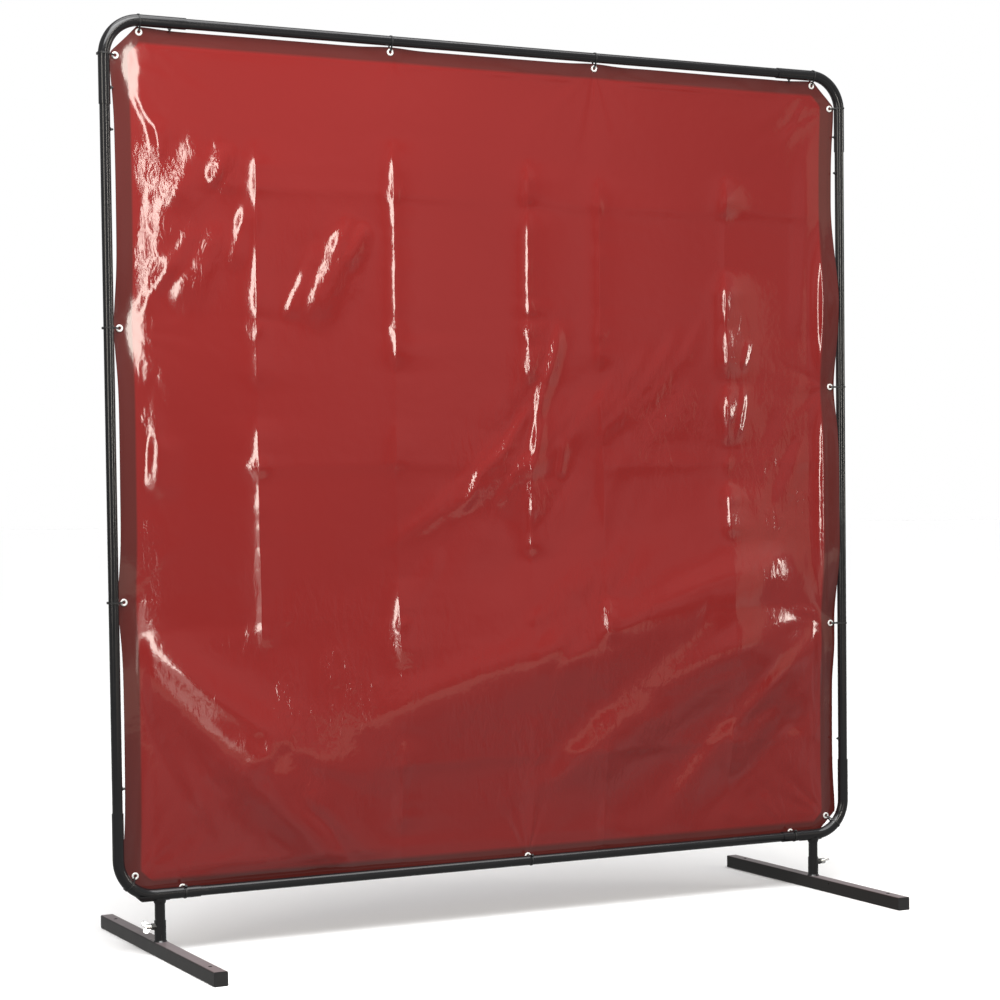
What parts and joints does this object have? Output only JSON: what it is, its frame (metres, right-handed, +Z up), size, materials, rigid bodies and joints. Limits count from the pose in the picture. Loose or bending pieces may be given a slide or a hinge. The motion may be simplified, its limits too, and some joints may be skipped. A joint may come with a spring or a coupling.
{
  "type": "welding curtain screen",
  "caption": "Free-standing welding screen: a round-tube frame on two swivelling feet with a red translucent vinyl sheet tied in by eyelets and straps.",
  "frame": {"origin": "floor level, midway between the side tubes, in the plane of the tube frame", "axes": "+X along the width to the right seen from the front, +Y to the back (the face the sheet's low edge hangs on), +Z up"},
  "size_m": [1.8712, 0.754, 1.9907],
  "materials": {
    "black_paint": "gloss black powder coat",
    "black_paint_legs": "gloss black powder coat",
    "screw_black": "black oxide",
    "foot_steel": "semi-gloss black paint, slightly dusty",
    "nut_steel": "painted over weld",
    "cap_plastic": "moulded black",
    "zinc": "bright zinc plate",
    "red_sheet": "glossy soft vinyl with packing creases",
    "eyelet": "bright rolled",
    "tie": "moulded black nylon"
  },
  "bodies": {
    "frame": {"top_tube": "black_paint", "bottom_tube": "black_paint", "left_tube": "black_paint", "right_tube": "black_paint", "corner_top_left": "black_paint", "corner_top_right": "black_paint", "corner_bottom_left": "black_paint", "corner_bottom_right": "black_paint", "corner_screws": "screw_black", "tube_screws": "screw_black", "saddle_left": "black_paint_legs", "saddle_right": "black_paint_legs", "curtain": "red_sheet", "eyelets": "eyelet", "ties_top": "tie", "ties_sides": "tie", "ties_bottom": "tie", "ties_corners": "tie"},
    "leg_left": {"leg_left": "black_paint_legs"},
    "foot_left": {"foot_bar_left": "foot_steel", "socket_left": "black_paint_legs", "nut_left": "nut_steel", "end_caps_left": "cap_plastic"},
    "stud_left": {"stud_left": "zinc"},
    "wings_left": {"wings_left": "zinc"},
    "leg_right": {"leg_right": "black_paint_legs"},
    "foot_right": {"foot_bar_right": "foot_steel", "socket_right": "black_paint_legs", "nut_right": "nut_steel", "end_caps_right": "cap_plastic"},
    "stud_right": {"stud_right": "zinc"},
    "wings_right": {"wings_right": "zinc"}
  },
  "joints": [
    {"name": "foot_swivel_left", "type": "hinge", "parent": "frame", "child": "leg_left", "pos_m": [-0.833, 0, 0.09], "axis": [0, 0, 1], "continuous": true},
    {"name": "foot_slide_left", "type": "slide", "parent": "leg_left", "child": "foot_left", "axis": [0, 0, 1], "range_m": [-0.04, 0]},
    {"name": "screw_travel_left", "type": "slide", "parent": "foot_left", "child": "stud_left", "axis": [-1, 0, 0], "range_m": [0, 0.0075]},
    {"name": "screw_turn_left", "type": "hinge", "parent": "stud_left", "child": "wings_left", "pos_m": [-0.86, 0, 0.063], "axis": [-1, 0, 0], "range_deg": [0, 2161]},
    {"name": "foot_swivel_right", "type": "hinge", "parent": "frame", "child": "leg_right", "pos_m": [0.833, 0, 0.09], "axis": [0, 0, 1], "continuous": true},
    {"name": "foot_slide_right", "type": "slide", "parent": "leg_right", "child": "foot_right", "axis": [0, 0, 1], "range_m": [-0.04, 0]},
    {"name": "screw_travel_right", "type": "slide", "parent": "foot_right", "child": "stud_right", "axis": [1, 0, 0], "range_m": [0, 0.0075]},
    {"name": "screw_turn_right", "type": "hinge", "parent": "stud_right", "child": "wings_right", "pos_m": [0.86, 0, 0.063], "axis": [1, 0, 0], "range_deg": [0, 2161]}
  ],
  "couplings": [
    {"joint": "screw_turn_left", "follows": "screw_travel_left", "rad_per_m": 5026.5},
    {"joint": "screw_turn_right", "follows": "screw_travel_right", "rad_per_m": 5026.5}
  ]
}
